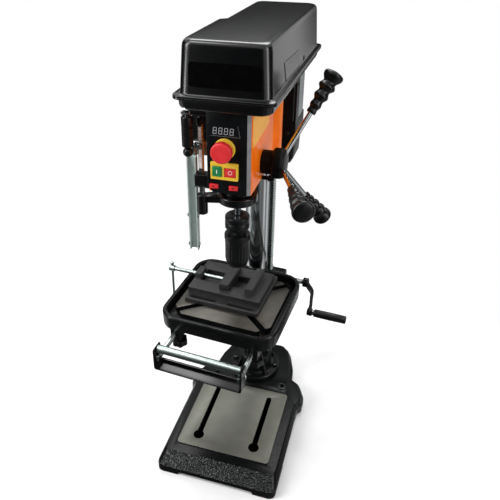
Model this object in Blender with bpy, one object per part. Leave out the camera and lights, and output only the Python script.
"""Bench drill press with a roller extension and a drill-press vise.

Metres, +Z up, front towards -Y. Pieces are placed from the column's axis on the bench; at the end an
empty moves the whole machine so that its origin is the middle of its bounding box, at its lowest point.
"""
import bmesh
import bpy
from math import asin, cos, pi, radians, sin
from mathutils import Matrix, Vector

# ------------------------------------------------------------------ driving dimensions
GAP = 0.0003                 # between pieces that touch
RUN = 0.0003                 # radial running clearance
ROUND_STEPS = 28             # sides of an ordinary round piece

COLUMN_R = 0.030
COLUMN_WALL = 0.004
COLUMN_TOP = 0.800

BASE_HALF_WIDTH = 0.129      # top edge
BASE_FRONT = -0.322
BASE_SKIRT = 0.019           # upright part of the sides
BASE_SHOULDER = 0.036        # painted top surface
BASE_PLATE_TOP = 0.0394      # machined surface
BASE_PLATE_WIDTH = 0.219
BASE_PLATE_DEPTH = 0.216
BASE_PLATE_Y = -0.1925
BASE_WALL = 0.009
KEYHOLE_X = 0.067
KEYHOLE_FRONT = -0.266
KEYHOLE_BACK = -0.113
KEYHOLE_WIDTH = 0.0124
KEYHOLE_R = 0.0125
BENCH_HOLE_X = 0.088
BENCH_HOLE_Y = -0.056
FLANGE_R = 0.065
FLANGE_THICK = 0.013
FLANGE_SOCKET_R = 0.044
FLANGE_TOP = 0.095

RACK_TOOTH = 0.002           # module of the elevating rack
RACK_WIDTH = 0.012
RACK_BACK = COLUMN_R + 0.0006
RACK_PITCH_X = 0.0376
RACK_COLLAR_Z = 0.655
RACK_COLLAR_HEIGHT = 0.0125

TABLE_SWING = radians(-4.3)  # how far the table stands turned about the column
TABLE_WIDTH = 0.256
TABLE_DEPTH = 0.244
TABLE_Y = -0.1645
TABLE_CORNER = 0.042
TABLE_RIM_TOP = 0.386
TABLE_FLOOR = 0.378
TABLE_TROUGH = 0.364
TABLE_BOTTOM = 0.350
TABLE_RIM = 0.009
TABLE_PLATE = 0.007
FLOOR_HALF_WIDTH = 0.108
FLOOR_FRONT = -0.2555
FLOOR_BACK = -0.0680
GROOVE_WIDTH = 0.013

BRACKET_R = 0.0405
BRACKET_LOW = 0.290
BRACKET_HIGH = 0.3625
TILT_Z = 0.319
TILT_HUB_R = 0.029
TILT_JOINT_Y = -0.066
TILT_BOLT_R = 0.006
GEAR_TEETH = 12
GEAR_WIDTH = 0.014
WORM_R = 0.0076
CRANK_Z = 0.342
CRANK_SHAFT_R = 0.006
CRANK_REACH = 0.107
CRANK_PLANE = 0.160          # how far out the crank's grip end is
GRIP_START = 0.1705
GRIP_END = 0.242

ARM_X = 0.0869
ARM_THICK = 0.006
ARM_LOW = 0.3350
ARM_HIGH = 0.3487
ARM_BACK = -0.165
ROLLER_Y = -0.353
ROLLER_Z = 0.360
ROLLER_R = 0.0083
YOKE_HALF_WIDTH = 0.0942
YOKE_LOW = 0.314
YOKE_HIGH = 0.372
YOKE_DEPTH = 0.027
YOKE_BACK_HEIGHT = 0.012     # of the plate behind the roller
YOKE_END_RADIUS = 0.011      # rounds the end plates over the roller's ends
YOKE_SHEET = 0.004
KNOB_Y = -0.262
KNOB_R = 0.0175

VISE_Y = -0.1375
VISE_LEFT = -0.0975
VISE_RIGHT = 0.0725
VISE_DEPTH = 0.150
VISE_BODY_DEPTH = 0.107
VISE_FLANGE = 0.009
VISE_RAIL_TOP = 0.404
VISE_CHANNEL = 0.390
VISE_CHANNEL_HALF = 0.022
VISE_JAW_TOP = 0.420
VISE_JAW_DEPTH = 0.084
JAW_LEFT = -0.028
JAW_RIGHT = -0.006
FIXED_JAW_LEFT = 0.031
FIXED_JAW_RIGHT = 0.049
SCREW_Z = 0.402
SCREW_R = 0.005
SCREW_END = -0.168
TOMMY_R = 0.003
TOMMY_LOW = 0.326
TOMMY_LENGTH = 0.0886

SPINDLE_Y = -0.1755
HEAD_HALF_WIDTH = 0.041
HEAD_FRONT = -0.228
HEAD_LOW = 0.668
HEAD_TOP = 0.8317
HEAD_BOSS_R = 0.0465
HEAD_WALL = 0.010
QUILL_R = 0.024
QUILL_LOW = 0.628
QUILL_TOP = 0.790
SPINDLE_R = 0.010
SPLINE_R = 0.0065
NOSE_R = 0.0075
FEED_TOOTH = 0.0015
FEED_TEETH = 18
FEED_Y = -0.1435
FEED_Z = 0.7023
FEED_SHAFT_R = 0.008
FEED_WIDTH = 0.012
HUB_X = 0.0737               # where the three rods' axes meet
ROD_CONE = radians(24.6)
ROD_FIRST = radians(61.3)
ROD_R = 0.005
GRIP_FROM = 0.112
GRIP_TO = 0.2015

COLLAR_R = 0.040
COLLAR_LOW = 0.628
COLLAR_HIGH = 0.662
DEPTH_X = -0.0645
DEPTH_Y = -0.200
DEPTH_R = 0.0055
DEPTH_TOP = 0.802
GUIDE_LOW = 0.6655
GUIDE_HIGH = 0.689
QUILL_TRAVEL = 0.050
STOP_HEIGHT = 0.015
STOP_LOW = GUIDE_HIGH + QUILL_TRAVEL + 0.0015

CHUCK_TOP = 0.595
CHUCK_RING_R = 0.025
CHUCK_NECK_R = 0.019
CHUCK_CORE_R = 0.0172
CHUCK_LOW = 0.478
SLEEVE_R = 0.0265
SLEEVE_TOP = 0.553
SLEEVE_LOW = 0.4805
CHUCK_MOUTH_R = 0.0068

GUARD_X = -0.0865
GUARD_Y = -0.181
GUARD_WIDTH = 0.0186
GUARD_LOW = 0.510
GUARD_TOP = 0.7345

PANEL_THICK = 0.0042
PANEL_LEFT = -0.0415
PANEL_RIGHT = 0.034
PANEL_FACE = HEAD_FRONT - GAP - PANEL_THICK
STOP_X, STOP_Z = -0.0072, 0.7570
MUSHROOM_R = 0.0195
SWITCH = (-0.0336, 0.0186, 0.6975, 0.7310)       # left, right, low, high
START = (-0.0300, -0.0120, 0.7036, 0.7236)
OFF = (-0.0080, 0.0148, 0.7030, 0.7220)
ROCKERS = {"light_rocker": -0.0288, "laser_rocker": 0.0090}
ROCKER_Z = 0.6810
ROCKER_SIZE = (0.0165, 0.0088)

LEVER_X, LEVER_Y, LEVER_Z = -0.0835, -0.218, 0.815

TRAY_LOW = 0.832
TRAY_TOP = 0.8557
TRAY_WALL = 0.0035
LIP_HALF_WIDTH = 0.0908
LIP_FRONT = -0.274
LIP_BACK = 0.205
LID_LOW = TRAY_TOP + GAP
LID_TOP = 0.949
LID_WALL = 0.003
LID_STEP_Y = -0.062          # where the left side steps in
LID_STEP = 0.013
HINGE_X = -0.0950
HINGE_Z = TRAY_TOP
MOTOR_Y = 0.110
MOTOR_HALF_WIDTH = 0.064
MOTOR_HALF_DEPTH = 0.050
MOTOR_LOW = 0.665
SHROUD_LOW = 0.605
SHROUD_WALL = 0.003
MOTOR_SHAFT_R = 0.007
BELT_Z = 0.886
BELT_HEIGHT = 0.010
BELT_THICK = 0.007
SPINDLE_GROOVE_R = 0.036
MOTOR_GROOVE_R = 0.024

# ------------------------------------------------------------------ scene and materials
for old in list(bpy.data.objects):
    bpy.data.objects.remove(old, do_unlink=True)

PARTS = bpy.data.collections.new("drill_press")
CUTTERS = bpy.data.collections.new("cutters")
for group in (PARTS, CUTTERS):
    bpy.context.scene.collection.children.link(group)

FINISHES = {                                     # colour, metallic, roughness
    "black_paint": ((0.012, 0.013, 0.014), 0.0, 0.40),
    "cast_iron": ((0.045, 0.045, 0.047), 0.6, 0.50),
    "machined_steel": ((0.40, 0.40, 0.38), 1.0, 0.40),
    "chrome": ((0.75, 0.76, 0.77), 1.0, 0.12),
    "zinc": ((0.60, 0.63, 0.62), 1.0, 0.35),
    "orange_paint": ((0.90, 0.16, 0.01), 0.0, 0.35),
    "black_plastic": ((0.010, 0.010, 0.011), 0.0, 0.35),
    "grey_metal": ((0.30, 0.32, 0.32), 0.8, 0.45),
    "red_plastic": ((0.65, 0.02, 0.015), 0.0, 0.35),
    "green_plastic": ((0.01, 0.30, 0.09), 0.0, 0.40),
    "yellow_plastic": ((0.85, 0.55, 0.02), 0.0, 0.40),
    "smoked_window": ((0.02, 0.02, 0.025), 0.0, 0.10),
    "rubber": ((0.02, 0.02, 0.02), 0.0, 0.70),
}


def make_finish(name, colour, metallic, roughness):
    """A Principled material for one finish."""
    finish = bpy.data.materials.new(name)
    finish.use_nodes = True
    shader = finish.node_tree.nodes["Principled BSDF"]
    shader.inputs["Base Color"].default_value = (*colour, 1.0)
    shader.inputs["Metallic"].default_value = metallic
    shader.inputs["Roughness"].default_value = roughness
    finish.diffuse_color = (*colour, 1.0)
    return finish


MATERIALS = {name: make_finish(name, *values) for name, values in FINISHES.items()}


# ------------------------------------------------------------------ helpers
def pivot(name, at, above):
    """An empty on a joint's axis. at is in the same frame as the pieces; above is the pivot that it rides."""
    empty = bpy.data.objects.new(name, None)
    PARTS.objects.link(empty)
    empty["at"] = at
    empty.parent = above
    empty.location = Vector(at) - Vector(above["at"] if above else (0, 0, 0))
    empty.empty_display_size = 0.02
    return empty


def add(name, mesh, finish=None, on=None):
    """An object whose mesh is given in the machine's frame, riding on the pivot that is given."""
    mesh.name = name
    thing = bpy.data.objects.new(name, mesh)
    if finish:
        PARTS.objects.link(thing)
        mesh.materials.append(MATERIALS[finish])
    else:
        CUTTERS.objects.link(thing)
        thing.hide_render = True
        thing.display_type = "WIRE"
    if on:
        thing.parent = on
        thing.location = -Vector(on["at"])
    return thing


def mesh_from(bm, smooth=35):
    """A mesh from a bmesh, smooth except over edges sharper than the angle in degrees."""
    bmesh.ops.recalc_face_normals(bm, faces=bm.faces)
    mesh = bpy.data.meshes.new("shape")
    bm.to_mesh(mesh)
    bm.free()
    mesh.shade_smooth()
    mesh.set_sharp_from_angle(angle=radians(smooth))
    return mesh


def box(low, high):
    """A box between two corners."""
    low, high = Vector(low), Vector(high)
    bm = bmesh.new()
    bmesh.ops.create_cube(bm, size=1.0)
    bmesh.ops.scale(bm, vec=high - low, verts=bm.verts)
    bmesh.ops.translate(bm, vec=(low + high) / 2, verts=bm.verts)
    return mesh_from(bm)


def soft_box(low, high, radius, segments=2):
    """A box with all its edges rounded."""
    low, high = Vector(low), Vector(high)
    bm = bmesh.new()
    bmesh.ops.create_cube(bm, size=1.0)
    bmesh.ops.scale(bm, vec=high - low, verts=bm.verts)
    bmesh.ops.translate(bm, vec=(low + high) / 2, verts=bm.verts)
    bmesh.ops.bevel(bm, geom=bm.edges[:], offset=radius, segments=segments, profile=0.5, affect="EDGES")
    return mesh_from(bm)


def along(start, end):
    """The matrix that takes +Z at the origin to the line from start towards end."""
    start, end = Vector(start), Vector(end)
    turn = (end - start).to_track_quat("Z", "Y").to_matrix().to_4x4()
    return Matrix.Translation(start) @ turn


def bar(radius, start, end, steps=ROUND_STEPS, end_radius=None):
    """A round bar, or a cone when the end's radius differs."""
    length = (Vector(end) - Vector(start)).length
    bm = bmesh.new()
    bmesh.ops.create_cone(
        bm, cap_ends=True, segments=steps, radius1=radius,
        radius2=radius if end_radius is None else end_radius, depth=length,
    )
    bmesh.ops.translate(bm, vec=(0, 0, length / 2), verts=bm.verts)
    bmesh.ops.transform(bm, matrix=along(start, end), verts=bm.verts)
    return mesh_from(bm)


def turned(profile, start, end, steps=ROUND_STEPS):
    """A turned piece. profile is (radius, height) from one end of the axis to the other, height from start
    towards end; a profile that begins and ends off the axis closes on itself, which leaves a bore."""
    bm = bmesh.new()
    verts = [bm.verts.new((r, 0.0, h)) for r, h in profile]
    edges = [bm.edges.new(pair) for pair in zip(verts, verts[1:])]
    if profile[0][0] > 0:
        edges.append(bm.edges.new((verts[-1], verts[0])))
    bmesh.ops.spin(
        bm, geom=verts + edges, cent=(0, 0, 0), axis=(0, 0, 1), angle=2 * pi, steps=steps, use_merge=True,
    )
    bmesh.ops.remove_doubles(bm, verts=bm.verts, dist=1e-6)
    bmesh.ops.transform(bm, matrix=along(start, end), verts=bm.verts)
    return mesh_from(bm)


def rounded(points, radius, steps=4):
    """A closed outline with every corner rounded. radius is one number, or one for each corner."""
    radii = radius if isinstance(radius, (list, tuple)) else [radius] * len(points)
    out = []
    for i, r in enumerate(radii):
        here = Vector(points[i])
        back = (Vector(points[i - 1]) - here).normalized()
        ahead = (Vector(points[(i + 1) % len(points)]) - here).normalized()
        if r <= 0:
            out.append(tuple(here))
            continue
        half = back.angle(ahead) / 2
        if half > 1.55:                          # no corner here: the same number of points, in a line
            out += [tuple(here + (back * (steps - k) + ahead * k) * r / steps) for k in range(steps + 1)]
            continue
        reach = r / sin(half) * cos(half)
        centre = here + (back + ahead).normalized() * (r / sin(half))
        first, last = here + back * reach - centre, here + ahead * reach - centre
        sweep = first.angle_signed(last)
        for k in range(steps + 1):
            turned_by = Matrix.Rotation(-sweep * k / steps, 2)
            out.append(tuple(centre + turned_by @ first))
    return out


def loft(sections, plane="XY"):
    """A closed body through outlines with the same number of points. Each section is (height, points)."""
    bm = bmesh.new()
    rings = []
    for height, points in sections:
        place = {
            "XY": lambda u, v: (u, v, height),
            "XZ": lambda u, v: (u, height, v),
            "YZ": lambda u, v: (height, u, v),
        }[plane]
        rings.append([bm.verts.new(place(u, v)) for u, v in points])
    for low, high in zip(rings, rings[1:]):
        for i in range(len(low)):
            j = (i + 1) % len(low)
            bm.faces.new((low[i], low[j], high[j], high[i]))
    bm.faces.new(list(reversed(rings[0])))
    bm.faces.new(rings[-1])
    return mesh_from(bm)


def slab(points, low, high, plane="XY"):
    """A flat outline with a thickness."""
    return loft([(low, points), (high, points)], plane)


def rectangle(left, right, low, high):
    return [(left, low), (right, low), (right, high), (left, high)]


def boolean(target, mesh, operation):
    """Cuts or joins a mesh, in the machine's frame, into an object on the same pivot."""
    tool = add(f"{target.name}_tool", mesh)
    tool.parent = target.parent
    tool.location = target.location
    step = target.modifiers.new(operation.lower(), "BOOLEAN")
    step.operation = operation
    step.solver = "EXACT"
    step.object = tool
    return target


def cut(target, *meshes):
    for mesh in meshes:
        boolean(target, mesh, "DIFFERENCE")


def fuse(target, *meshes):
    for mesh in meshes:
        boolean(target, mesh, "UNION")


def gear(teeth, module, width, centre, axis, phase=0.0):
    """A spur gear blank with straight-flanked teeth; one tooth stands at the phase angle."""
    pitch_r = teeth * module / 2
    tip, root = pitch_r + 0.75 * module, pitch_r - 1.15 * module
    points = []
    for k in range(teeth):
        for share, radius in ((-0.34, root), (-0.13, tip), (0.13, tip), (0.34, root)):
            angle = phase + (k + share) * 2 * pi / teeth
            points.append((radius * cos(angle), radius * sin(angle)))
    blank = slab(points, -width / 2, width / 2)
    place = {"X": Matrix.Rotation(pi / 2, 4, "Y") @ Matrix.Rotation(pi / 2, 4, "Z"),
             "Y": Matrix.Rotation(pi / 2, 4, "X")}[axis]
    blank.transform(Matrix.Translation(centre) @ place)
    return blank


def rack_outline(back, pitch_line, low, high, module, tooth_at, outward=1):
    """A rack's side view as (depth, height) points, with a tooth gap centred on the height tooth_at."""
    pitch = pi * module
    tip, root = pitch_line + outward * 0.75 * module, pitch_line - outward * 1.15 * module
    points = [(back, high), (back, low), (root, low)]
    count = int((high - low) / pitch) + 2
    first = tooth_at - pitch * round((tooth_at - low) / pitch)
    for k in range(-1, count):
        middle = first + (k + 0.5) * pitch          # middle of a tooth
        if middle - 0.36 * pitch <= low or middle + 0.36 * pitch >= high:
            continue
        for share, depth in ((-0.34, root), (-0.12, tip), (0.12, tip), (0.34, root)):
            points.append((depth, middle + share * pitch))
    points.append((root, high))
    return points


# ------------------------------------------------------------------ pivots, one for each moving body
machine = pivot("machine", (0, 0, 0), None)
swing = pivot("swing_axis", (0, 0, 0), machine)
swing.rotation_euler.z = TABLE_SWING
lift = pivot("lift_axis", (0, 0, BRACKET_LOW), swing)
GEAR_X = RACK_PITCH_X + GEAR_TEETH * RACK_TOOTH / 2
GEAR_Z = CRANK_Z - WORM_R - GEAR_TEETH * RACK_TOOTH / 2 - 0.75 * RACK_TOOTH - GAP
gear_axis = pivot("gear_axis", (GEAR_X, 0, GEAR_Z), lift)
crank_axis = pivot("crank_axis", (CRANK_PLANE, 0, CRANK_Z), lift)
grip_axis = pivot("grip_axis", (GRIP_START, -CRANK_REACH, CRANK_Z), crank_axis)
CLAMP_Z = 0.312
clamp_axis = pivot("clamp_axis", (-BRACKET_R - 0.015, 0, CLAMP_Z), lift)
tilt = pivot("tilt_axis", (0, TILT_JOINT_Y, TILT_Z), lift)
extension = pivot("extension_axis", (0, ROLLER_Y, ARM_LOW), tilt)
roller_axis = pivot("roller_axis", (0, ROLLER_Y, ROLLER_Z), extension)
jaw_axis = pivot("jaw_axis", (JAW_RIGHT, VISE_Y, SCREW_Z), tilt)
screw_axis = pivot("screw_axis", (JAW_LEFT, VISE_Y, SCREW_Z), jaw_axis)
TOMMY_X = SCREW_END + 0.007
tommy_axis = pivot("tommy_axis", (TOMMY_X, VISE_Y, SCREW_Z), screw_axis)
quill_axis = pivot("quill_axis", (0, SPINDLE_Y, QUILL_LOW), machine)
spindle_axis = pivot("spindle_axis", (0, SPINDLE_Y, CHUCK_TOP), quill_axis)
stop_axis = pivot("stop_axis", (DEPTH_X, DEPTH_Y, STOP_LOW), quill_axis)
feed_axis = pivot("feed_axis", (0, FEED_Y, FEED_Z), machine)
lid_axis = pivot("lid_axis", (HINGE_X, 0, HINGE_Z), machine)
spindle_pulley_axis = pivot("spindle_pulley_axis", (0, SPINDLE_Y, BELT_Z), machine)
motor_pulley_axis = pivot("motor_pulley_axis", (0, MOTOR_Y, BELT_Z), machine)
lever_axis = pivot("lever_axis", (LEVER_X, LEVER_Y, LEVER_Z), machine)
guard_axis = pivot("guard_axis", (GUARD_X, GUARD_Y, GUARD_TOP), machine)


# ------------------------------------------------------------------ base, flange, column, rack
def base_outline(grow, front):
    """The base seen from above: wide in front, two small lugs, narrow behind the column."""
    right = [
        (BASE_HALF_WIDTH, front), (BASE_HALF_WIDTH + 0.001, -0.106), (0.139, -0.094), (0.139, -0.066),
        (0.127, -0.038), (0.0985, -0.0205), (0.0926, 0.026), (0.0755, 0.080), (0.057, 0.097),
    ]
    points = [(-x - grow, y) for x, y in right[:1]] + [(x + grow, y) for x, y in right]
    points += [(-x - grow, y) for x, y in reversed(right[1:])]
    return rounded(points, [0.014, 0.014, 0.01, 0.006, 0.008, 0.012, 0.012, 0.02, 0.016, 0.016,
                            0.016, 0.016, 0.02, 0.012, 0.012, 0.008, 0.006, 0.01], 3)


def keyhole(x):
    """One slot of the machined plate, as a cutter's outline: a long slot that ends in a round mouth."""
    half = KEYHOLE_WIDTH / 2
    back = [(x + half * cos(a), KEYHOLE_BACK + half * sin(a)) for a in (k * pi / 6 for k in range(7))]
    open_at = asin(half / KEYHOLE_R)
    sweep = 2 * pi - 2 * open_at
    mouth = [pi / 2 + open_at + sweep * k / 14 for k in range(15)]
    return back + [(x + KEYHOLE_R * cos(a), KEYHOLE_FRONT + KEYHOLE_R * sin(a)) for a in mouth]


def make_base():
    base = add("base_casting", loft([
        (0.0, base_outline(0.009, -0.356)),
        (BASE_SKIRT, base_outline(0.009, -0.356)),
        (BASE_SKIRT + 0.003, base_outline(0.008, -0.351)),
        (BASE_SHOULDER - 0.002, base_outline(0.002, BASE_FRONT - 0.002)),
        (BASE_SHOULDER, base_outline(0.0, BASE_FRONT)),
    ]), "black_paint", machine)
    half_w, half_d = BASE_PLATE_WIDTH / 2, BASE_PLATE_DEPTH / 2
    plate = rectangle(-half_w, half_w, BASE_PLATE_Y - half_d, BASE_PLATE_Y + half_d)
    fuse(base, slab(rounded(plate, 0.007, 3), BASE_SHOULDER - 0.004, BASE_PLATE_TOP))
    for side in (-1, 1):
        x = side * BENCH_HOLE_X
        fuse(base, bar(0.0135, (x, BENCH_HOLE_Y, BASE_SHOULDER - 0.004),
            (x, BENCH_HOLE_Y, BASE_SHOULDER + 0.003)))
    inner = [(-0.118, -0.338), (0.118, -0.338), (0.118, -0.048), (0.082, -0.028), (0.070, 0.060),
             (0.046, 0.086), (-0.046, 0.086), (-0.070, 0.060), (-0.082, -0.028), (-0.118, -0.048)]
    lid_z = BASE_SHOULDER - BASE_WALL
    front_top = [(x, max(y, BASE_FRONT + BASE_WALL)) for x, y in inner]
    cut(base, loft([(-0.01, inner), (0.010, inner), (lid_z, front_top)]))
    cut(base, slab(rounded(rectangle(-0.088, 0.088, -0.012, 0.0085), 0.006, 3), -0.40, 0.15, "XZ"))
    cut(base, slab(rounded(rectangle(-0.270, -0.125, -0.012, 0.0085), 0.006, 3), -0.20, 0.20, "YZ"))
    for side in (-1, 1):
        x = side * BENCH_HOLE_X
        cut(base, bar(0.0055, (x, BENCH_HOLE_Y, -0.01), (x, BENCH_HOLE_Y, 0.06), 16))
        cut(base, slab(keyhole(side * KEYHOLE_X), 0.0, 0.06))


def make_column():
    low = BASE_SHOULDER + GAP
    bore = COLUMN_R + RUN
    add("column_flange", turned([
        (bore, low), (FLANGE_R, low), (FLANGE_R, low + FLANGE_THICK - 0.003), (FLANGE_R - 0.003,
            low + FLANGE_THICK),
        (FLANGE_SOCKET_R + 0.006, low + FLANGE_THICK), (FLANGE_SOCKET_R, low + FLANGE_THICK + 0.008),
        (FLANGE_SOCKET_R, FLANGE_TOP - 0.003), (FLANGE_SOCKET_R - 0.003, FLANGE_TOP), (bore, FLANGE_TOP),
    ], (0, 0, 0), (0, 0, 1), 36), "black_paint", machine)
    inside = COLUMN_R - COLUMN_WALL
    add("column", turned([
        (inside, low), (COLUMN_R, low), (COLUMN_R, COLUMN_TOP), (inside, COLUMN_TOP),
    ], (0, 0, 0), (0, 0, 1), 36), "chrome", machine)
    collar_r = RACK_PITCH_X - 0.0025
    add("rack_collar", turned([
        (bore, RACK_COLLAR_Z), (collar_r, RACK_COLLAR_Z), (collar_r, RACK_COLLAR_Z + RACK_COLLAR_HEIGHT),
        (bore, RACK_COLLAR_Z + RACK_COLLAR_HEIGHT),
    ], (0, 0, 0), (0, 0, 1), 36), "black_paint", machine)
    outline = rack_outline(RACK_BACK, RACK_PITCH_X, FLANGE_TOP + GAP, RACK_COLLAR_Z - GAP, RACK_TOOTH, GEAR_Z)
    add("rack", slab(outline, -RACK_WIDTH / 2, RACK_WIDTH / 2, "XZ"), "zinc", swing)


# ------------------------------------------------------------------ table bracket, elevating gear, crank
def make_bracket():
    bore = COLUMN_R + RUN
    bracket = add("table_bracket", turned([
        (bore, BRACKET_LOW), (BRACKET_R - 0.002, BRACKET_LOW), (BRACKET_R, BRACKET_LOW + 0.002),
        (BRACKET_R, BRACKET_HIGH - 0.002), (BRACKET_R - 0.002, BRACKET_HIGH), (bore, BRACKET_HIGH),
    ], (0, 0, 0), (0, 0, 1), 36), "cast_iron", lift)
    housing_right = GEAR_X + 0.0225
    housing = soft_box((0.033, -0.017, BRACKET_LOW + 0.002), (housing_right, 0.017, BRACKET_HIGH - 0.003),
        0.004)
    fuse(bracket, housing)
    fuse(bracket, bar(TILT_HUB_R, (0, -0.0345, TILT_Z), (0, TILT_JOINT_Y, TILT_Z)))
    fuse(bracket, bar(0.012, (-0.036, 0, CLAMP_Z), (-BRACKET_R - 0.0145, 0, CLAMP_Z), 20))
    channel = 0.0007
    half = RACK_WIDTH / 2 + channel
    tip = RACK_PITCH_X + 0.75 * RACK_TOOTH + channel
    cut(bracket, box((0.028, -half, BRACKET_LOW - 0.01), (tip, half, BRACKET_HIGH + 0.01)))
    gear_room = GEAR_TEETH * RACK_TOOTH / 2 + 0.75 * RACK_TOOTH + 0.0008
    half_gear = GEAR_WIDTH / 2 + 0.0008
    cut(bracket, bar(gear_room, (GEAR_X, -half_gear, GEAR_Z), (GEAR_X, half_gear, GEAR_Z)))
    cut(bracket, bar(0.004 + RUN, (GEAR_X, -0.03, GEAR_Z), (GEAR_X, 0.03, GEAR_Z), 20))
    worm_end = GEAR_X + 0.009
    cut(bracket, bar(WORM_R + 0.0006, (tip - 0.001, 0, CRANK_Z), (worm_end + 0.0008, 0, CRANK_Z), 24))
    cut(bracket, bar(CRANK_SHAFT_R + RUN, (worm_end, 0, CRANK_Z), (0.09, 0, CRANK_Z), 24))
    cut(bracket, bar(TILT_BOLT_R + RUN, (0, -0.047, TILT_Z), (0, -0.08, TILT_Z), 20))
    cut(bracket, bar(0.0043, (-0.04, 0, CLAMP_Z), (-0.07, 0, CLAMP_Z), 20))

    bolt = add("tilt_bolt", bar(TILT_BOLT_R, (0, -0.0475, TILT_Z), (0, -0.1155, TILT_Z), 20), "zinc", lift)
    fuse(bolt, bar(0.0105, (0, -0.1153, TILT_Z), (0, -0.1225, TILT_Z), 6))

    blank = gear(GEAR_TEETH, RACK_TOOTH, GEAR_WIDTH, (GEAR_X, 0, GEAR_Z), "Y", phase=pi)
    wheel = add("elevating_gear", blank, "zinc", gear_axis)
    fuse(wheel, bar(0.004, (GEAR_X, -0.0168, GEAR_Z), (GEAR_X, 0.0168, GEAR_Z), 20))

    hub_start = CRANK_PLANE - 0.0425
    add("crank_shaft", turned([
        (0, tip + 0.0005), (WORM_R, tip + 0.0005), (WORM_R, worm_end), (CRANK_SHAFT_R, worm_end),
        (CRANK_SHAFT_R, hub_start - GAP), (0, hub_start - GAP),
    ], (0, 0, CRANK_Z), (1, 0, CRANK_Z), 20), "zinc", crank_axis)
    make_crank(hub_start)
    make_clamp_lever()


def make_crank(hub_start):
    """An S-bent flat arm between two bosses, with the pin that the grip turns on."""
    way = [(hub_start + 0.006, 0.004), (hub_start + 0.015, -0.011), (0.1480, -0.034), (0.1525, -0.060),
           (0.158, -0.086), (CRANK_PLANE, -CRANK_REACH)]
    half = 0.0036
    right, left = [], []
    for i, point in enumerate(way):
        ahead = Vector(way[min(i + 1, len(way) - 1)]) - Vector(way[max(i - 1, 0)])
        side = Vector((-ahead.y, ahead.x)).normalized() * half
        right.append(tuple(Vector(point) + side))
        left.append(tuple(Vector(point) - side))
    arm = add("crank_arm", slab(right + left[::-1], CRANK_Z - 0.0075, CRANK_Z + 0.0075), "black_paint",
        crank_axis)
    fuse(arm, bar(0.0115, (hub_start, 0, CRANK_Z), (hub_start + 0.013, 0, CRANK_Z), 24))
    pin_y = -CRANK_REACH
    fuse(arm, bar(0.0085, (CRANK_PLANE - 0.005, pin_y, CRANK_Z), (CRANK_PLANE + 0.0065, pin_y, CRANK_Z), 24))
    fuse(arm, bar(0.0038, (CRANK_PLANE, pin_y, CRANK_Z), (GRIP_END - 0.004, pin_y, CRANK_Z), 20))
    length = GRIP_END - GRIP_START
    add("crank_grip", turned([
        (0.0041, 0), (0.0078, 0), (0.0088, 0.002), (0.0092, length * 0.5), (0.0088, length - 0.002),
        (0.0076, length), (0.0041, length),
    ], (GRIP_START, pin_y, CRANK_Z), (GRIP_END, pin_y, CRANK_Z), 24), "black_plastic", grip_axis)


def make_clamp_lever():
    x = -BRACKET_R - 0.0148
    lever = add("clamp_lever", turned([
        (0, 0.012), (0.004, 0.012), (0.004, 0), (0.009, 0), (0.009, -0.014), (0.0075, -0.0155), (0, -0.0155),
    ], (x, 0, CLAMP_Z), (x + 1, 0, CLAMP_Z), 20), "zinc", clamp_axis)
    tip = Vector((x - 0.022, 0.010, CLAMP_Z - 0.052))
    fuse(lever, bar(0.0038, (x - 0.008, 0, CLAMP_Z - 0.004), tip, 16))
    bm = bmesh.new()
    bmesh.ops.create_uvsphere(bm, u_segments=16, v_segments=10, radius=0.0085)
    bmesh.ops.translate(bm, vec=tip, verts=bm.verts)
    fuse(lever, mesh_from(bm))


# ------------------------------------------------------------------ table, extension, vise
def table_outline(inset):
    half_w, half_d = TABLE_WIDTH / 2 - inset, TABLE_DEPTH / 2 - inset
    corner = max(TABLE_CORNER - inset, 0.004)
    return rounded(rectangle(-half_w, half_w, TABLE_Y - half_d, TABLE_Y + half_d), corner, 6)


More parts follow.
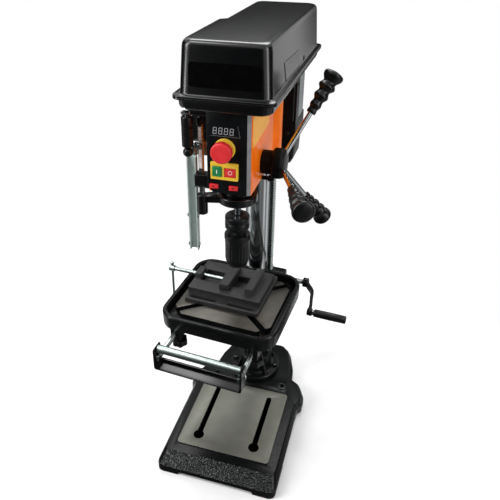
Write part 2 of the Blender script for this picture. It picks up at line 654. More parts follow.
def make_table():
    table = add("work_table", loft([
        (TABLE_BOTTOM, table_outline(0.006)), (TABLE_BOTTOM + 0.004, table_outline(0.001)),
        (TABLE_RIM_TOP - 0.003, table_outline(0.0)), (TABLE_RIM_TOP, table_outline(0.002)),
    ]), "cast_iron", tilt)
    cut(table, loft([(TABLE_TROUGH, table_outline(TABLE_RIM + 0.003)),
        (TABLE_TROUGH + 0.004, table_outline(TABLE_RIM)),
                     (TABLE_RIM_TOP + 0.01, table_outline(TABLE_RIM))]))
    chamfer = 0.024
    floor = [
        (-FLOOR_HALF_WIDTH + chamfer, FLOOR_FRONT), (FLOOR_HALF_WIDTH - chamfer, FLOOR_FRONT),
        (FLOOR_HALF_WIDTH, FLOOR_FRONT + chamfer), (FLOOR_HALF_WIDTH, FLOOR_BACK - chamfer),
        (FLOOR_HALF_WIDTH - chamfer, FLOOR_BACK), (-FLOOR_HALF_WIDTH + chamfer, FLOOR_BACK),
        (-FLOOR_HALF_WIDTH, FLOOR_BACK - chamfer), (-FLOOR_HALF_WIDTH, FLOOR_FRONT + chamfer),
    ]
    fuse(table, slab(floor, TABLE_TROUGH - 0.003, TABLE_FLOOR))
    middle_y = (FLOOR_FRONT + FLOOR_BACK) / 2
    for side in (-1, 1):
        corner = Vector((side * FLOOR_HALF_WIDTH, FLOOR_FRONT - middle_y))
        for up in (-1, 1):
            way = Vector((corner.x, abs(corner.y) * up)).normalized()
            across = Vector((-way.y, way.x)) * GROOVE_WIDTH / 2
            near, far = way * 0.045, way * 0.155
            ends = [near - across, far - across, far + across, near + across]
            cut(table, slab([(p.x, p.y + middle_y) for p in ends], TABLE_TROUGH, TABLE_FLOOR + 0.002))
    cut(table, slab(table_outline(TABLE_RIM + 0.004), TABLE_BOTTOM - 0.01, TABLE_TROUGH - TABLE_PLATE))
    fuse(table, bar(TILT_HUB_R, (0, TILT_JOINT_Y - 0.0005, TILT_Z), (0, -0.115, TILT_Z)))
    fuse(table, box((-0.022, -0.115, TILT_Z), (0.022, TILT_JOINT_Y - 0.002,
        TABLE_TROUGH - TABLE_PLATE + 0.002)))
    cut(table, bar(TILT_BOLT_R + RUN, (0, -0.05, TILT_Z), (0, -0.13, TILT_Z), 20))
    for side in (-1, 1):
        x = side * ARM_X
        fuse(table, soft_box((x - 0.011, -0.283, ARM_LOW - 0.0085),
            (x + 0.011, -0.238, TABLE_TROUGH - TABLE_PLATE + 0.003), 0.002))
        half = ARM_THICK / 2 + GAP
        cut(table, box((x - half, -0.30, ARM_LOW - GAP), (x + half, -0.20, ARM_HIGH + GAP)))
        cut(table, bar(0.0033, (x, KNOB_Y, ARM_LOW - 0.02), (x, KNOB_Y, ARM_LOW), 16))


def make_extension():
    front = ROLLER_Y - YOKE_DEPTH / 2
    back = ROLLER_Y + YOKE_DEPTH / 2
    half, sheet = YOKE_HALF_WIDTH, YOKE_SHEET
    outer = rounded(rectangle(-half, half, YOKE_LOW, YOKE_HIGH), [0.007, 0.007, 0.010, 0.010], 3)
    yoke = add("roller_bracket", slab(outer, front, back, "XZ"), "black_paint", extension)
    inner = rounded(rectangle(-half + sheet, half - sheet, YOKE_LOW + sheet, YOKE_HIGH + 0.04), 0.004, 2)
    cut(yoke, slab(inner, front - 0.01, back - sheet, "XZ"))
    cut(yoke, slab(rectangle(-half + sheet, half - sheet, YOKE_LOW + YOKE_BACK_HEIGHT, YOKE_HIGH + 0.04),
                   back - sheet - 0.001, back + 0.01, "XZ"))
    profile = rounded(rectangle(front, back, YOKE_LOW, YOKE_HIGH),
        [0.002, 0.002, YOKE_END_RADIUS, YOKE_END_RADIUS], 4)
    boolean(yoke, slab(profile, -half - 0.01, half + 0.01, "YZ"), "INTERSECT")
    cut(yoke, bar(0.0033, (-0.12, ROLLER_Y, ROLLER_Z), (0.12, ROLLER_Y, ROLLER_Z), 16))
    end = half - sheet - GAP
    add("support_roller", turned([
        (0, -half - 0.001), (0.003, -half - 0.001), (0.003, -end + 0.0005), (ROLLER_R - 0.001, -end + 0.0005),
        (ROLLER_R, -end + 0.0015), (ROLLER_R, end - 0.0015), (ROLLER_R - 0.001, end - 0.0005),
        (0.003, end - 0.0005), (0.003, half + 0.001), (0, half + 0.001),
    ], (0, ROLLER_Y, ROLLER_Z), (1, ROLLER_Y, ROLLER_Z), 24), "zinc", roller_axis)
    for side, name in ((-1, "left"), (1, "right")):
        x = side * ARM_X
        arm_x = sorted((x - side * ARM_THICK / 2, x + side * ARM_THICK / 2))
        arm = box((arm_x[0], front + 0.003, ARM_LOW), (arm_x[1], ARM_BACK, ARM_HIGH))
        add(f"extension_arm_{name}", arm, "zinc", extension)
        knob_axis = pivot(f"knob_{name}_axis", (x, KNOB_Y, ARM_LOW - 0.02), tilt)
        knob = add(f"knob_{name}", slab(star(x, KNOB_Y), ARM_LOW - 0.034, ARM_LOW - 0.020), "black_plastic",
            knob_axis)
        fuse(knob, bar(0.0075, (x, KNOB_Y, ARM_LOW - 0.021), (x, KNOB_Y, ARM_LOW - 0.0135), 16))
        fuse(knob, bar(0.003, (x, KNOB_Y, ARM_LOW - 0.020), (x, KNOB_Y, ARM_LOW - GAP), 16))


def star(x, y, lobes=6, steps=5):
    """The outline of a star knob."""
    points = []
    for k in range(lobes * steps):
        angle = 2 * pi * k / (lobes * steps)
        radius = KNOB_R - 0.0028 * (1 - cos(lobes * angle)) / 2
        points.append((x + radius * cos(angle), y + radius * sin(angle)))
    return points


def make_vise():
    low = TABLE_FLOOR + GAP
    half = VISE_DEPTH / 2
    foot = rounded(rectangle(VISE_LEFT, VISE_RIGHT, VISE_Y - half, VISE_Y + half), 0.006, 2)
    base = add("vise_base", slab(foot, low, low + VISE_FLANGE), "cast_iron", tilt)
    body = VISE_BODY_DEPTH / 2
    fuse(base, box((VISE_LEFT + 0.002, VISE_Y - body, low + 0.002),
        (VISE_RIGHT - 0.003, VISE_Y + body, VISE_RAIL_TOP)))
    jaw = VISE_JAW_DEPTH / 2
    fuse(base, box((FIXED_JAW_LEFT, VISE_Y - jaw, VISE_RAIL_TOP - 0.002),
        (FIXED_JAW_RIGHT, VISE_Y + jaw, VISE_JAW_TOP)))
    block_right = VISE_LEFT + 0.0165
    channel = VISE_CHANNEL_HALF
    cut(base, box((block_right, VISE_Y - channel, VISE_CHANNEL),
        (FIXED_JAW_LEFT, VISE_Y + channel, VISE_RAIL_TOP + 0.01)))
    block = soft_box((VISE_LEFT + 0.001, VISE_Y - 0.017, VISE_CHANNEL),
        (block_right, VISE_Y + 0.017, SCREW_Z + 0.013), 0.002)
    fuse(base, block)
    cut(base, bar(SCREW_R + RUN, (VISE_LEFT - 0.01, VISE_Y, SCREW_Z), (block_right + 0.01, VISE_Y, SCREW_Z),
        20))
    step = (VISE_RIGHT - VISE_LEFT) / 2
    for end in (0, 1):
        for side in (-1, 1):
            left = VISE_LEFT + 0.011 + end * step
            y = VISE_Y + side * (half - 0.011)
            slot = rounded(rectangle(left, left + step - 0.024, y - 0.0045, y + 0.0045), 0.0044, 3)
            cut(base, slab(slot, low - 0.01, low + 0.02))

    sliding = box((JAW_LEFT, VISE_Y - jaw, VISE_RAIL_TOP + GAP), (JAW_RIGHT, VISE_Y + jaw, VISE_JAW_TOP))
    mover = add("vise_jaw", sliding, "cast_iron", jaw_axis)
    tongue = channel - GAP
    fuse(mover, box((JAW_LEFT, VISE_Y - tongue, VISE_CHANNEL + GAP),
        (JAW_RIGHT, VISE_Y + tongue, VISE_RAIL_TOP + 0.002)))
    screw_stop = JAW_LEFT - GAP
    screw = add("vise_screw", turned([
        (0, SCREW_END), (0.0065, SCREW_END), (0.0075, SCREW_END + 0.001), (0.0075, SCREW_END + 0.013),
        (0.0065, SCREW_END + 0.014), (SCREW_R, SCREW_END + 0.014), (SCREW_R, screw_stop), (0, screw_stop),
    ], (0, VISE_Y, SCREW_Z), (1, VISE_Y, SCREW_Z), 24), "zinc", screw_axis)
    cut(screw, bar(TOMMY_R + RUN, (TOMMY_X, VISE_Y, SCREW_Z - 0.02), (TOMMY_X, VISE_Y, SCREW_Z + 0.02), 16))
    ball = 0.0048
    top = TOMMY_LENGTH
    add("vise_handle", turned([
        (0, -ball), (ball * 0.7, -ball * 0.7), (ball, 0), (ball * 0.7, ball * 0.7), (TOMMY_R, ball * 0.8),
        (TOMMY_R, top - ball * 0.8), (ball * 0.7, top - ball * 0.7), (ball, top), (ball * 0.7,
            top + ball * 0.7),
        (0, top + ball),
    ], (TOMMY_X, VISE_Y, TOMMY_LOW), (TOMMY_X, VISE_Y, 1), 16), "zinc", tommy_axis)


# ------------------------------------------------------------------ head casting and quill
def make_head():
    head_outline = [
        (-HEAD_HALF_WIDTH, HEAD_FRONT), (HEAD_HALF_WIDTH, HEAD_FRONT), (HEAD_HALF_WIDTH, -0.060),
        (0.030, -0.020), (-0.030, -0.020), (-HEAD_HALF_WIDTH, -0.060),
    ]
    head = add("head_casting", slab(rounded(head_outline, [0.003, 0.003, 0.01, 0.004, 0.004, 0.01], 3),
                                    HEAD_LOW, HEAD_TOP), "orange_paint", machine)
    fuse(head, bar(HEAD_BOSS_R, (0, 0, HEAD_LOW), (0, 0, HEAD_TOP), 36))
    cut(head, bar(COLUMN_R + RUN, (0, 0, HEAD_LOW - 0.01), (0, 0, COLUMN_TOP + 0.001), 36))
    cut(head, bar(QUILL_R + RUN, (0, SPINDLE_Y, HEAD_LOW - 0.01), (0, SPINDLE_Y, QUILL_TOP + 0.002), 36))
    cut(head, bar(0.0143, (0, SPINDLE_Y, QUILL_TOP), (0, SPINDLE_Y, HEAD_TOP + 0.01)))
    inside = HEAD_HALF_WIDTH - HEAD_WALL          # the hollow of the casting, open under the belt tray
    cut(head, box((-inside, FEED_Y + 0.008, FEED_Z + 0.025), (inside, -HEAD_BOSS_R - 0.001, HEAD_TOP + 0.01)))
    pinion_r = FEED_TEETH * FEED_TOOTH / 2 + 0.75 * FEED_TOOTH + 0.0006
    half = FEED_WIDTH / 2 + 0.0008
    cut(head, bar(pinion_r, (-half, FEED_Y, FEED_Z), (half, FEED_Y, FEED_Z), 36))
    cut(head, bar(FEED_SHAFT_R + RUN, (-0.06, FEED_Y, FEED_Z), (0.06, FEED_Y, FEED_Z), 24))
    pocket = 0.008
    back = HEAD_FRONT + pocket
    cut(head, bar(0.012, (STOP_X, HEAD_FRONT - 0.01, STOP_Z), (STOP_X, back, STOP_Z), 24))
    left, right, low, high = SWITCH
    cut(head, box((left + 0.003, HEAD_FRONT - 0.01, low + 0.003), (right - 0.003, back, high - 0.003)))
    for x in ROCKERS.values():
        wide, tall = ROCKER_SIZE[0] / 2 + 0.001, ROCKER_SIZE[1] / 2 + 0.001
        cut(head, box((x - wide, HEAD_FRONT - 0.01, ROCKER_Z - tall), (x + wide, back, ROCKER_Z + tall)))
    cut(head, bar(0.0063, (-0.05, LEVER_Y, LEVER_Z), (-0.030, LEVER_Y, LEVER_Z), 20))


def make_quill():
    bore = SPINDLE_R + RUN
    quill = add("quill", turned([
        (bore, QUILL_LOW), (QUILL_R, QUILL_LOW), (QUILL_R, QUILL_TOP), (bore, QUILL_TOP),
    ], (0, SPINDLE_Y, 0), (0, SPINDLE_Y, 1), 36), "machined_steel", quill_axis)
    pitch_y = FEED_Y - FEED_TEETH * FEED_TOOTH / 2
    half = FEED_WIDTH / 2 + 0.0006
    flat, floor = pitch_y + 0.75 * FEED_TOOTH, pitch_y - 1.2 * FEED_TOOTH
    pitch = pi * FEED_TOOTH
    below, above = 5, 15                         # tooth gaps below and above the pinion's height
    notches = [(-0.140, FEED_Z + (above + 0.5) * pitch), (-0.140, FEED_Z - (below + 0.5) * pitch),
               (flat, FEED_Z - (below + 0.5) * pitch)]
    for k in range(-below, above + 1):
        notches += [(depth, FEED_Z + (k + share) * pitch)
                    for share, depth in ((-0.345, flat), (-0.14, floor), (0.14, floor), (0.345, flat))]
    notches.append((flat, FEED_Z + (above + 0.5) * pitch))
    cut(quill, slab(notches, -half, half, "YZ"))

    low, high = SPINDLE_R, SPLINE_R
    add("spindle", turned([
        (0, 0.563), (NOSE_R - 0.0008, 0.563), (NOSE_R, CHUCK_TOP), (NOSE_R, QUILL_LOW + 0.004), (low,
            QUILL_LOW + 0.004),
        (low, QUILL_TOP - 0.002), (high, QUILL_TOP - 0.002), (high, 0.905), (0, 0.905),
    ], (0, SPINDLE_Y, 0), (0, SPINDLE_Y, 1), 24), "chrome", spindle_axis)

    body = add("chuck_body", turned([
        (0, CHUCK_LOW), (CHUCK_CORE_R - 0.004, CHUCK_LOW), (CHUCK_CORE_R, CHUCK_LOW + 0.006),
        (CHUCK_CORE_R, SLEEVE_TOP + GAP), (CHUCK_NECK_R, SLEEVE_TOP + GAP), (CHUCK_NECK_R, 0.567),
        (CHUCK_RING_R - 0.001, 0.567), (CHUCK_RING_R, 0.569), (CHUCK_RING_R, CHUCK_TOP - 0.004),
        (CHUCK_RING_R - 0.004, CHUCK_TOP), (0, CHUCK_TOP),
    ], (0, SPINDLE_Y, 0), (0, SPINDLE_Y, 1), 32), "cast_iron", spindle_axis)
    cut(body, bar(NOSE_R + RUN, (0, SPINDLE_Y, 0.5627), (0, SPINDLE_Y, CHUCK_TOP + 0.01), 24))
    cut(body, bar(CHUCK_MOUTH_R, (0, SPINDLE_Y, CHUCK_LOW - 0.01), (0, SPINDLE_Y, CHUCK_LOW + 0.045), 24))
    sleeve_axis = pivot("sleeve_axis", (0, SPINDLE_Y, SLEEVE_LOW), spindle_axis)
    bore = CHUCK_CORE_R + RUN
    low_bore = bore - 0.0035
    add("chuck_sleeve", turned([
        (low_bore + 0.004, SLEEVE_LOW), (0.0205, SLEEVE_LOW), (SLEEVE_R - 0.0015, SLEEVE_LOW + 0.014),
        (SLEEVE_R - 0.001, SLEEVE_TOP - 0.012), (SLEEVE_R, SLEEVE_TOP - 0.011), (SLEEVE_R,
            SLEEVE_TOP - 0.001),
        (SLEEVE_R - 0.001, SLEEVE_TOP), (bore, SLEEVE_TOP), (bore, SLEEVE_LOW + 0.004),
    ], (0, SPINDLE_Y, 0), (0, SPINDLE_Y, 1), 32), "black_plastic", sleeve_axis)


def make_depth_gear():
    """The clamp ring on the quill, its arm, the depth rod, the stop on it and the guide that it lands on."""
    ring = add("depth_collar", turned([
        (QUILL_R + RUN, COLLAR_LOW), (COLLAR_R - 0.004, COLLAR_LOW), (COLLAR_R, COLLAR_LOW + 0.004),
        (COLLAR_R, COLLAR_HIGH - 0.003), (COLLAR_R - 0.003, COLLAR_HIGH), (QUILL_R + RUN, COLLAR_HIGH),
    ], (0, SPINDLE_Y, 0), (0, SPINDLE_Y, 1), 36), "black_paint", quill_axis)
    way = (Vector((DEPTH_X, DEPTH_Y)) - Vector((0, SPINDLE_Y))).normalized()
    across = Vector((-way.y, way.x)) * 0.009
    near, far = Vector((0, SPINDLE_Y)) + way * 0.031, Vector((DEPTH_X, DEPTH_Y))
    arm = [tuple(p) for p in (near - across * 1.6, far - across, far + across, near + across * 1.6)]
    fuse(ring, slab(arm, 0.6285, 0.643))
    fuse(ring, bar(0.0105, (DEPTH_X, DEPTH_Y, 0.602), (DEPTH_X, DEPTH_Y, 0.6325), 24))
    cut(ring, bar(DEPTH_R + RUN, (DEPTH_X, DEPTH_Y, 0.606), (DEPTH_X, DEPTH_Y, 0.66), 20))
    cut(ring, bar(QUILL_R + RUN, (0, SPINDLE_Y, 0.62), (0, SPINDLE_Y, 0.67), 36))
    add("depth_rod", turned([
        (0, 0.6063), (DEPTH_R, 0.6063), (DEPTH_R, 0.786), (0.0072, 0.786), (0.0072, DEPTH_TOP - 0.006),
        (0.0045, DEPTH_TOP), (0, DEPTH_TOP),
    ], (DEPTH_X, DEPTH_Y, 0), (DEPTH_X, DEPTH_Y, 1), 20), "zinc", quill_axis)

    stop = add("depth_stop", soft_box((DEPTH_X - 0.0085, DEPTH_Y - 0.011, STOP_LOW),
                                      (DEPTH_X + 0.0085, DEPTH_Y + 0.010,
                                          STOP_LOW + STOP_HEIGHT), 0.0015), "zinc", stop_axis)
    bolt_z = STOP_LOW + STOP_HEIGHT / 2
    fuse(stop, bar(0.0055, (DEPTH_X, DEPTH_Y - 0.010, bolt_z), (DEPTH_X, DEPTH_Y - 0.0155, bolt_z), 6))
    cut(stop, bar(DEPTH_R + RUN, (DEPTH_X, DEPTH_Y, STOP_LOW - 0.01), (DEPTH_X, DEPTH_Y, STOP_LOW + 0.03),
        20))

    guide = add("rod_guide", soft_box((DEPTH_X - 0.0115, DEPTH_Y - 0.0115, GUIDE_LOW),
                                      (-HEAD_HALF_WIDTH - GAP, DEPTH_Y + 0.0115,
                                          GUIDE_HIGH), 0.0015), "black_paint", machine)
    cut(guide, bar(DEPTH_R + RUN, (DEPTH_X, DEPTH_Y, GUIDE_LOW - 0.01),
        (DEPTH_X, DEPTH_Y, GUIDE_HIGH + 0.01), 20))


# ------------------------------------------------------------------ feed shaft, hub and three handles
def make_feed():
    blank = gear(FEED_TEETH, FEED_TOOTH, FEED_WIDTH, (0, FEED_Y, FEED_Z), "X",
        phase=-pi / 2 - pi / FEED_TEETH)
    shaft = add("feed_shaft", blank, "machined_steel", feed_axis)
    hub_face = HEAD_HALF_WIDTH + GAP
    fuse(shaft, bar(FEED_SHAFT_R, (-HEAD_HALF_WIDTH - 0.014, FEED_Y, FEED_Z), (0.058, FEED_Y, FEED_Z), 24))
    case = -HEAD_HALF_WIDTH - GAP
    spring_case = add("spring_case", bar(0.024, (case, FEED_Y, FEED_Z), (case - 0.020, FEED_Y, FEED_Z)),
        "black_plastic", machine)
    cut(spring_case, bar(FEED_SHAFT_R + RUN, (case + 0.01, FEED_Y, FEED_Z), (case - 0.0145, FEED_Y, FEED_Z),
        24))

    hub = add("feed_hub", turned([
        (0, hub_face), (0.0225, hub_face), (0.0235, hub_face + 0.001), (0.0235, 0.060), (0.0285, 0.062),
        (0.0305, 0.066), (0.0305, 0.080), (0.027, 0.087), (0, 0.088),
    ], (0, FEED_Y, FEED_Z), (1, FEED_Y, FEED_Z), 24), "black_plastic", feed_axis)
    cut(hub, bar(FEED_SHAFT_R + RUN, (0.03, FEED_Y, FEED_Z), (0.0585, FEED_Y, FEED_Z), 24))
    centre = Vector((HUB_X, FEED_Y, FEED_Z))
    for k in range(3):
        angle = ROD_FIRST + k * 2 * pi / 3
        way = Vector((sin(ROD_CONE), cos(ROD_CONE) * cos(angle), cos(ROD_CONE) * sin(angle)))
        cut(hub, bar(ROD_R + RUN, centre + way * 0.0145, centre + way * 0.06, 20))
        rod_end = GRIP_FROM + 0.025
        add(f"feed_rod_{k + 1}", bar(ROD_R, centre + way * 0.015, centre + way * rod_end, 20), "chrome",
            feed_axis)
        start, end = centre + way * GRIP_FROM, centre + way * GRIP_TO
        length = GRIP_TO - GRIP_FROM
        rings = [(0.0093, 0), (0.0098, 0.006)]
        for j in range(4):
            base_r, at = 0.0108 + 0.0012 * j, 0.009 + 0.0145 * j
            rings += [(base_r, at), (base_r + 0.0022, at + 0.006)]
        tail = [(0.0165, length - 0.0185), (0.0180, length - 0.012), (0.0176, length - 0.006),
            (0.013, length - 0.001), (0, length)]
        grip = add(f"feed_grip_{k + 1}", turned([(0, 0)] + rings + tail, start, end, 20), "black_plastic",
            feed_axis)
        cut(grip, bar(ROD_R + RUN, start - way * 0.01, centre + way * (rod_end + GAP), 20))


# ------------------------------------------------------------------ panel, switches, lever, guard
def make_panel():
    outline = [
        (PANEL_LEFT, HEAD_FRONT - GAP), (PANEL_LEFT, PANEL_FACE), (PANEL_RIGHT, PANEL_FACE),
        (HEAD_HALF_WIDTH - 0.0005, HEAD_FRONT - GAP),
    ]
    panel = add("control_panel", slab(outline, HEAD_LOW, HEAD_TOP), "black_plastic", machine)
    cut(panel, box((PANEL_LEFT - 0.01, PANEL_FACE - 0.01, HEAD_LOW - 0.01),
        (PANEL_LEFT, HEAD_FRONT + 0.01, HEAD_TOP + 0.01)))
    corner = 0.011
    cut(panel, slab([(PANEL_LEFT - 0.001, HEAD_LOW - 0.001), (PANEL_LEFT + corner, HEAD_LOW - 0.001),
                     (PANEL_LEFT - 0.001, HEAD_LOW + corner)], PANEL_FACE - 0.01, HEAD_FRONT + 0.01, "XZ"))
    stem = 0.0105
    cut(panel, bar(stem + RUN, (STOP_X, PANEL_FACE - 0.01, STOP_Z), (STOP_X, HEAD_FRONT + 0.01, STOP_Z), 24))
    for left, right, low, high in (START, OFF):
        cut(panel, box((left, PANEL_FACE - 0.01, low), (right, HEAD_FRONT + 0.01, high)))
    add("display_window", soft_box((-0.0315, PANEL_FACE - GAP - 0.0012, 0.7815),
        (0.0150, PANEL_FACE - GAP, 0.7990), 0.0005, 1),
        "smoked_window", machine)

    button_axis = pivot("estop_axis", (STOP_X, PANEL_FACE, STOP_Z), machine)
    face = PANEL_FACE
    add("estop_button", turned([
        (0, -0.006), (stem - 0.0003, -0.006), (stem - 0.0003, 0.0125), (0.0165, 0.0135), (MUSHROOM_R,
            0.0165), (MUSHROOM_R, 0.0235),
        (0.0175, 0.0262), (0.012, 0.0275), (0, 0.028),
    ], (STOP_X, face, STOP_Z), (STOP_X, face - 1, STOP_Z), 32), "red_plastic", button_axis)

    left, right, low, high = SWITCH
    frame_front = face - GAP - 0.005
    frame = add("switch_frame", slab(rounded(rectangle(left, right, low, high), 0.0015, 2), frame_front,
        face - GAP, "XZ"),
                "yellow_plastic", machine)
    for name, finish, front, (a, b, c, d) in (
        ("start_button", "green_plastic", frame_front - 0.0022, START),
        ("stop_button", "red_plastic", frame_front + 0.0012, OFF),
    ):
        cut(frame, box((a, frame_front - 0.01, c), (b, face + 0.01, d)))
        key_axis = pivot(f"{name}_axis", ((a + b) / 2, front, (c + d) / 2), machine)
        add(name, soft_box((a + GAP, front, c + GAP), (b - GAP, face + 0.0012, d - GAP), 0.0008, 1), finish,
            key_axis)
    for name, x in ROCKERS.items():
        wide, tall = ROCKER_SIZE[0] / 2, ROCKER_SIZE[1] / 2
        cut(panel, box((x - wide - 0.0006, face - 0.01, ROCKER_Z - tall - GAP),
            (x + wide + 0.0006, HEAD_FRONT + 0.01, ROCKER_Z + tall + GAP)))
        rocker_axis = pivot(f"{name}_axis", (x, face, ROCKER_Z), machine)
        shape = [(x - wide, face + 0.002), (x + wide, face + 0.002), (x + wide, face - 0.0012),
            (x + 0.001, face - 0.0024), (x - wide, face - 0.0036)]
        add(name, slab(shape, ROCKER_Z - tall, ROCKER_Z + tall), "red_plastic", rocker_axis)


def make_lever():
    side = -HEAD_HALF_WIDTH + 0.009
    lever = add("speed_lever", bar(0.006, (side, LEVER_Y, LEVER_Z), (LEVER_X, LEVER_Y, LEVER_Z), 20),
        "chrome", lever_axis)
    fuse(lever, bar(0.0082, (LEVER_X - 0.0085, LEVER_Y, LEVER_Z), (LEVER_X + 0.0085, LEVER_Y, LEVER_Z), 24))
    fuse(lever, bar(0.004, (LEVER_X, LEVER_Y, LEVER_Z - 0.004), (LEVER_X, LEVER_Y, LEVER_Z - 0.050), 16))
    rings = [(0, 0.0095), (0.0078, 0.0095)]
    for j in range(3):
        at = 0.0125 + 0.019 * j
        rings += [(0.0086, at), (0.0086, at + 0.015), (0.0078, at + 0.0165)]
    ball = [(0.0045, 0.0700), (0.0062, 0.0725), (0.0082, 0.0775), (0.0082, 0.0815), (0.0055, 0.0865),
        (0, 0.0880)]
    grip = add("speed_grip", turned(rings + ball, (LEVER_X, LEVER_Y, LEVER_Z), (LEVER_X, LEVER_Y, 0), 16),
        "black_plastic", lever_axis)
    cut(grip, bar(0.004 + RUN, (LEVER_X, LEVER_Y, LEVER_Z), (LEVER_X, LEVER_Y, LEVER_Z - 0.0503), 16))


def make_guard():
    strap_low, strap_high = GUARD_TOP - 0.0165, GUARD_TOP + 0.0035
    side = -HEAD_HALF_WIDTH - GAP
    bracket = add("guard_bracket", box((GUARD_X, GUARD_Y - 0.002, strap_low),
        (side, GUARD_Y + 0.002, strap_high)), "zinc", machine)
    fuse(bracket, box((side - 0.004, GUARD_Y - 0.002, strap_low), (side, GUARD_Y + 0.0135, strap_high)))
    fuse(bracket, bar(0.0062, (GUARD_X, GUARD_Y, strap_low), (GUARD_X, GUARD_Y, strap_high), 20))
    fuse(bracket, bar(0.003, (GUARD_X, GUARD_Y, strap_low - 0.016), (GUARD_X, GUARD_Y, strap_low + 0.002),
        16))
    top = strap_low - GAP
    rail = add("guard_rail", bar(0.0062, (GUARD_X, GUARD_Y, top - 0.018), (GUARD_X, GUARD_Y, top), 20),
        "grey_metal", guard_axis)
    half, back, front, wall = GUARD_WIDTH / 2, GUARD_Y - 0.0055, GUARD_Y - 0.0175, 0.002
    channel = [(GUARD_X - half, back), (GUARD_X - half, front), (GUARD_X - half + wall, front),
        (GUARD_X - half + wall, back - wall),
               (GUARD_X + half - wall, back - wall), (GUARD_X + half - wall, front), (GUARD_X + half,
                   front), (GUARD_X + half, back)]
    fuse(rail, slab(channel, GUARD_LOW, top))
    cut(rail, bar(0.003 + RUN, (GUARD_X, GUARD_Y, top - 0.0165), (GUARD_X, GUARD_Y, top + 0.01), 16))


# ------------------------------------------------------------------ belt drive, covers, motor
def lip_outline(inset, step=0.0, corner=0.016):
    """The belt housing seen from above; step moves the rear of the left side in."""
    half = LIP_HALF_WIDTH - inset
    front, back = LIP_FRONT + inset, LIP_BACK - inset
    points = [
        (-half, front), (half, front), (half, back), (-half + step, back),
        (-half + step, LID_STEP_Y + 0.010), (-half, LID_STEP_Y),
    ]
    r = max(corner - inset * 0.4, 0.004)
    return rounded(points, [r, r, r, r, 0.002, 0.002], 4)


def make_housing():
    tray = add("belt_tray", loft([
        (TRAY_LOW, lip_outline(0.014)), (TRAY_LOW + 0.006, lip_outline(0.0075)), (TRAY_TOP - 0.0045,
            lip_outline(0.0065)),
        (TRAY_TOP - 0.003, lip_outline(0.001)), (TRAY_TOP, lip_outline(0.0)),
    ]), "black_plastic", machine)
    inner = 0.0105 + TRAY_WALL
    cut(tray, loft([(TRAY_LOW + 0.004, lip_outline(inner + 0.002)), (TRAY_LOW + 0.010, lip_outline(inner)),
        (TRAY_TOP + 0.01, lip_outline(inner))]))
    cut(tray, bar(0.016, (0, SPINDLE_Y, TRAY_LOW - 0.01), (0, SPINDLE_Y, TRAY_TOP), 28))
    cut(tray, bar(0.012, (0, MOTOR_Y, TRAY_LOW - 0.01), (0, MOTOR_Y, TRAY_TOP), 28))
    knuckle, pin = 0.0042, 0.0018
    barrel, gap = 0.024, 0.0006
    for low in (-barrel * 1.5 - gap, barrel * 0.5 + gap):
        fuse(tray, bar(knuckle, (HINGE_X, low, HINGE_Z), (HINGE_X, low + barrel, HINGE_Z), 16))
        fuse(tray, box((HINGE_X + 0.001, low, HINGE_Z - 0.004),
            (-LIP_HALF_WIDTH + 0.004, low + barrel, HINGE_Z)))
    fuse(tray, bar(pin, (HINGE_X, -barrel, HINGE_Z), (HINGE_X, barrel, HINGE_Z), 12))

    lid = add("belt_cover", loft([
        (LID_LOW, lip_outline(0.0)), (LID_LOW + 0.003, lip_outline(0.001)), (LID_LOW + 0.0045,
            lip_outline(0.009, 0.006)),
        (LID_TOP - 0.016, lip_outline(0.0135, LID_STEP)), (LID_TOP - 0.005, lip_outline(0.0175, LID_STEP)),
        (LID_TOP, lip_outline(0.0235, LID_STEP)),
    ]), "black_plastic", lid_axis)
    cut(lid, loft([
        (LID_LOW - 0.01, lip_outline(0.009 + LID_WALL, 0.006)), (LID_LOW + 0.0045,
            lip_outline(0.009 + LID_WALL, 0.006)),
        (LID_TOP - 0.016, lip_outline(0.0135 + LID_WALL, LID_STEP)),
        (LID_TOP - LID_WALL, lip_outline(0.0205 + LID_WALL, LID_STEP)),
    ]))
    fuse(lid, box((HINGE_X, -barrel / 2, HINGE_Z + 0.001),
        (-LIP_HALF_WIDTH + 0.004, barrel / 2, HINGE_Z + 0.0035)))
    fuse(lid, bar(knuckle, (HINGE_X, -barrel / 2, HINGE_Z), (HINGE_X, barrel / 2, HINGE_Z), 16))
    cut(lid, bar(pin + RUN, (HINGE_X, -barrel, HINGE_Z), (HINGE_X, barrel, HINGE_Z), 12))
    room = knuckle + 0.0008
    for low in (-barrel * 1.5 - 2 * gap, barrel * 0.5 + 0.0):
        cut(lid, bar(room, (HINGE_X, low, HINGE_Z), (HINGE_X, low + barrel + 2 * gap, HINGE_Z), 16))
    cut(tray, bar(room, (HINGE_X, -barrel / 2 - 0.0003, HINGE_Z), (HINGE_X, barrel / 2 + 0.0003, HINGE_Z),
        16))
    fuse(tray, bar(pin, (HINGE_X, -barrel, HINGE_Z), (HINGE_X, barrel, HINGE_Z), 12))


def pulley(groove_r, rim, shaft_low, shaft_high, shaft_r, bore_r):
    """A V-pulley's profile. A bore radius of 0 leaves it solid, with a stub shaft below."""
    half = BELT_HEIGHT / 2 + 0.0006
    low, high = BELT_Z - half, BELT_Z + half
    side = [(shaft_r, shaft_low), (shaft_r, low - 0.004), (rim, low - 0.004), (rim, low), (groove_r, low),
            (groove_r, high), (rim, high), (rim, high + 0.004), (shaft_r, high + 0.004), (shaft_r,
                shaft_high)]
    return [(bore_r, shaft_low)] + side + [(bore_r, shaft_high)]


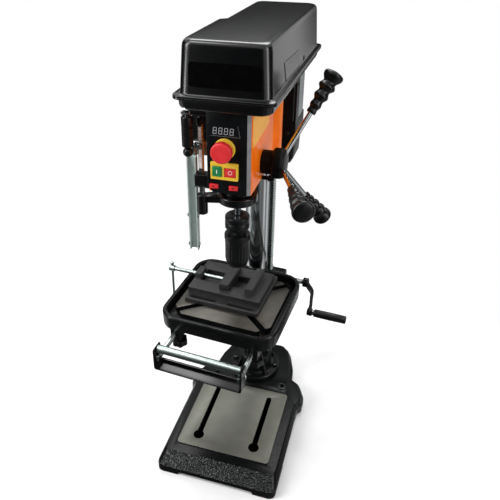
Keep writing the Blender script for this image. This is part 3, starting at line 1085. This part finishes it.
def make_drive():
    rim = BELT_THICK + 0.0016
    sleeve = turned(pulley(SPINDLE_GROOVE_R, SPINDLE_GROOVE_R + rim, 0.812, 0.915, 0.014, SPLINE_R + RUN),
        (0, SPINDLE_Y, 0), (0, SPINDLE_Y, 1), 32)
    add("spindle_pulley", sleeve, "cast_iron", spindle_pulley_axis)
    small = turned(pulley(MOTOR_GROOVE_R, MOTOR_GROOVE_R + rim, 0.795, 0.905, MOTOR_SHAFT_R, 0),
        (0, MOTOR_Y, 0), (0, MOTOR_Y, 1), 28)
    add("motor_pulley", small, "cast_iron", motor_pulley_axis)
    low, high = BELT_Z - BELT_HEIGHT / 2, BELT_Z + BELT_HEIGHT / 2
    belt = add("drive_belt", slab(belt_outline(GAP + BELT_THICK), low, high), "rubber", machine)
    cut(belt, slab(belt_outline(GAP), low - 0.01, high + 0.01))


def belt_outline(offset):
    """The loop round both pulleys, as far out from their grooves as the offset says."""
    big, small = SPINDLE_GROOVE_R + offset, MOTOR_GROOVE_R + offset
    lean = asin((big - small) / (MOTOR_Y - SPINDLE_Y))
    points = []
    for k in range(21):
        angle = pi - lean + (pi + 2 * lean) * k / 20
        points.append((big * cos(angle), SPINDLE_Y + big * sin(angle)))
    for k in range(15):
        angle = lean + (pi - 2 * lean) * k / 14
        points.append((small * cos(angle), MOTOR_Y + small * sin(angle)))
    return points


def motor_outline(inset, corner=0.012):
    half_w, half_d = MOTOR_HALF_WIDTH - inset, MOTOR_HALF_DEPTH - inset
    return rounded(rectangle(-half_w, half_w, MOTOR_Y - half_d, MOTOR_Y + half_d), corner, 3)


def make_motor():
    top = TRAY_LOW - GAP
    body = add("motor_body", loft([
        (MOTOR_LOW, motor_outline(0.001)), (MOTOR_LOW + 0.002, motor_outline(0.0)), (top, motor_outline(0.0)),
    ]), "grey_metal", machine)
    cut(body, bar(MOTOR_SHAFT_R + RUN, (0, MOTOR_Y, 0.7945), (0, MOTOR_Y, top + 0.01), 24))
    shroud = add("motor_cover", loft([
        (SHROUD_LOW, motor_outline(0.020)), (SHROUD_LOW + 0.006, motor_outline(0.0095)),
        (SHROUD_LOW + 0.018, motor_outline(0.0035)), (MOTOR_LOW - GAP, motor_outline(0.002)),
    ]), "black_plastic", machine)
    cut(shroud, loft([
        (SHROUD_LOW + SHROUD_WALL, motor_outline(0.020 + SHROUD_WALL)),
        (SHROUD_LOW + 0.018, motor_outline(0.0035 + SHROUD_WALL)), (MOTOR_LOW + 0.01,
            motor_outline(0.002 + SHROUD_WALL)),
    ]))


# ------------------------------------------------------------------ build
for build in (make_base, make_column, make_bracket, make_table, make_extension, make_vise, make_head,
        make_quill,
              make_depth_gear, make_feed, make_panel, make_lever, make_guard, make_housing, make_drive, make_motor):
    build()


def centre_machine():
    """Moves the machine so that the origin is the middle of its bounding box, at the lowest point."""
    bpy.context.view_layer.update()
    graph = bpy.context.evaluated_depsgraph_get()
    corners = []
    for piece in PARTS.objects:
        if piece.type == "MESH":
            solid = piece.evaluated_get(graph)
            corners += [solid.matrix_world @ vertex.co for vertex in solid.data.vertices]
    low = Vector([min(c[i] for c in corners) for i in range(3)])
    high = Vector([max(c[i] for c in corners) for i in range(3)])
    machine.location = Vector((-(low.x + high.x) / 2, -(low.y + high.y) / 2, -low.z))
    bpy.context.view_layer.update()


centre_machine()
